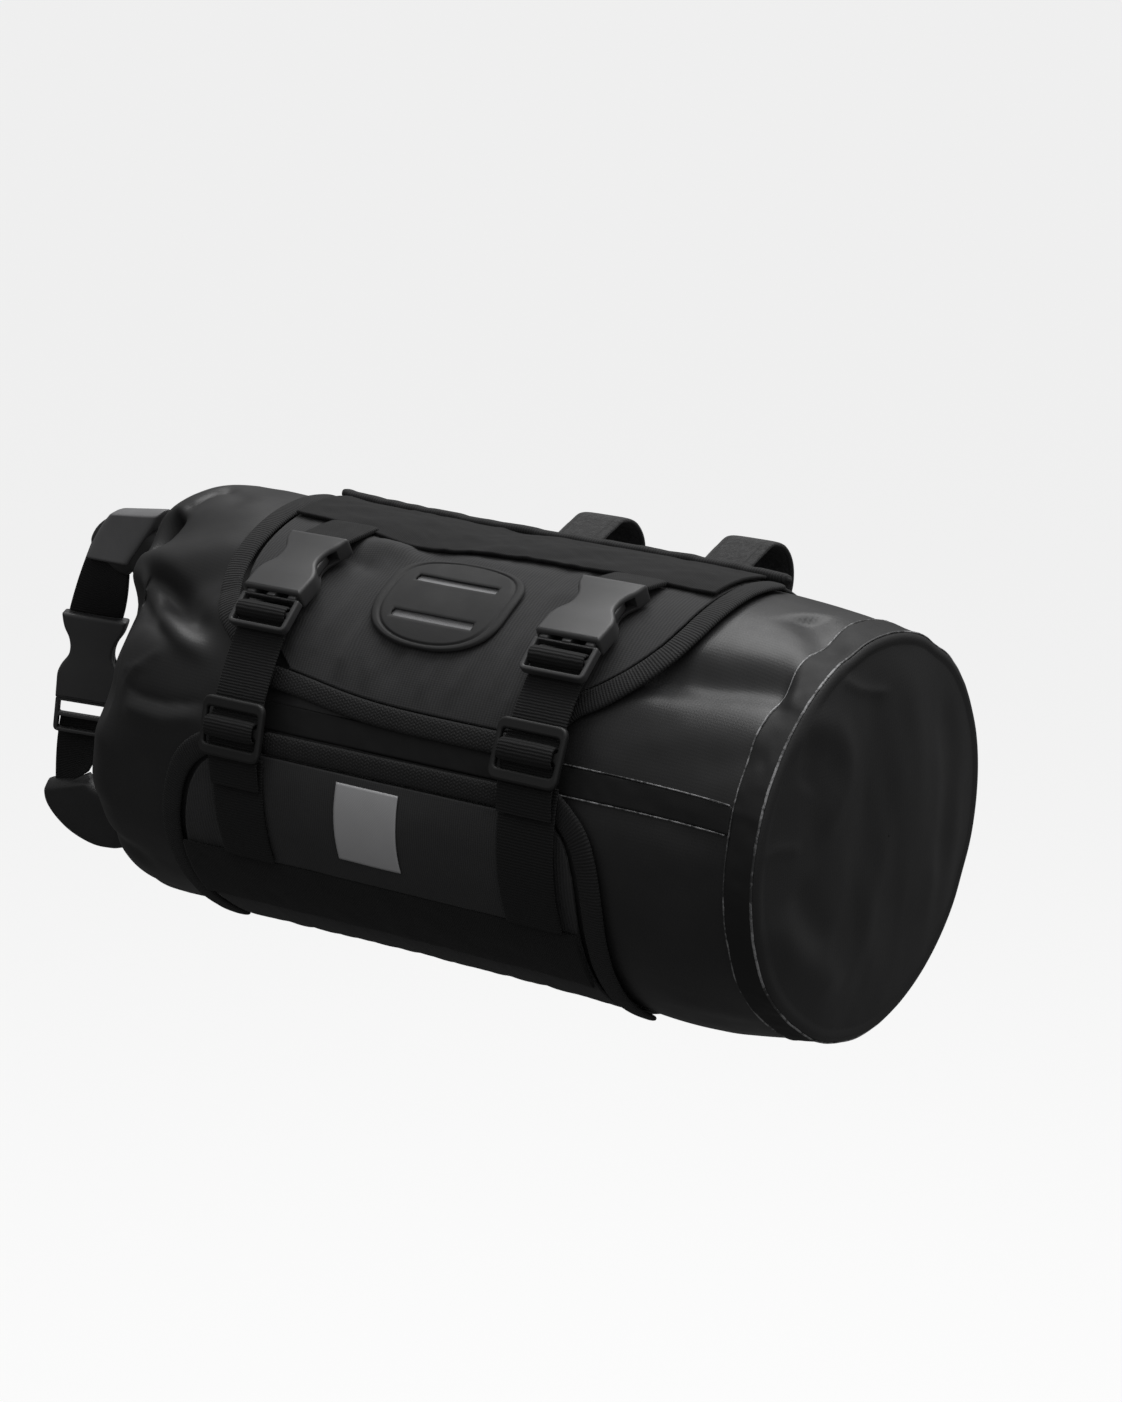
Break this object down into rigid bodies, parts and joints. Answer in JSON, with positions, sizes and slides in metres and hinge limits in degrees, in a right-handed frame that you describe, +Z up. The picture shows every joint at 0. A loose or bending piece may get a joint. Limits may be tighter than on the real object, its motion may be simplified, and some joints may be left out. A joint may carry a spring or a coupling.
{
  "type": "bicycle handlebar bag",
  "caption": "Soft round roll bag in a buckled cloth harness with a front pocket, hung from a bicycle's handlebar by hook-and-loop straps.",
  "frame": {"origin": "on the handlebar's axis, midway between the two handlebar loops", "axes": "+X along the handlebar towards the bag's round base, -Y forward where the flap and pocket are, +Z up"},
  "size_m": [0.4771, 0.2218, 0.1998],
  "materials": {
    "coated_cloth": "satin coated black cloth, softly creased",
    "tape": "satin welded black tape with a fine weave",
    "ripstop": "matt black cloth with fine upright ribs",
    "binding": "matt black ribbed edge binding",
    "webbing": "matt black woven strap with cross ribs",
    "hook_and_loop": "black hook-and-loop tape with a soft pile",
    "buckle": "satin moulded dark grey",
    "rubber_patch": "matt moulded dark grey with a stitched rim",
    "pale_web": "grey woven web",
    "reflector": "plain mid grey reflective film"
  },
  "bodies": {
    "root": {"drum_tube": "coated_cloth", "drum_base": "coated_cloth", "base_tape": "tape", "seam_tape": "tape", "roll_top": "coated_cloth", "flap": "ripstop", "flap_hem": "binding", "flap_binding_left": "binding", "flap_binding_right": "binding", "lower_binding_left": "binding", "lower_binding_right": "binding", "harness_back": "ripstop", "top_band": "ripstop", "top_edge": "binding", "lower_panel": "ripstop", "lower_band": "ripstop", "pocket": "ripstop", "pocket_binding": "binding", "reflective_label": "reflector", "light_patch": "rubber_patch", "light_patch_web": "pale_web", "anchor_left": "webbing", "socket_left": "buckle", "plug_left": "buckle", "tri_glide_left": "buckle", "strap_left": "webbing", "lower_strap_left": "webbing", "anchor_right": "webbing", "socket_right": "buckle", "plug_right": "buckle", "tri_glide_right": "buckle", "strap_right": "webbing", "lower_strap_right": "webbing", "handlebar_loop_left": "hook_and_loop", "handlebar_loop_right": "hook_and_loop", "closure_socket": "buckle", "closure_plug": "buckle", "closure_webbing_upper": "webbing", "closure_webbing_lower": "webbing"}
  },
  "joints": []
}
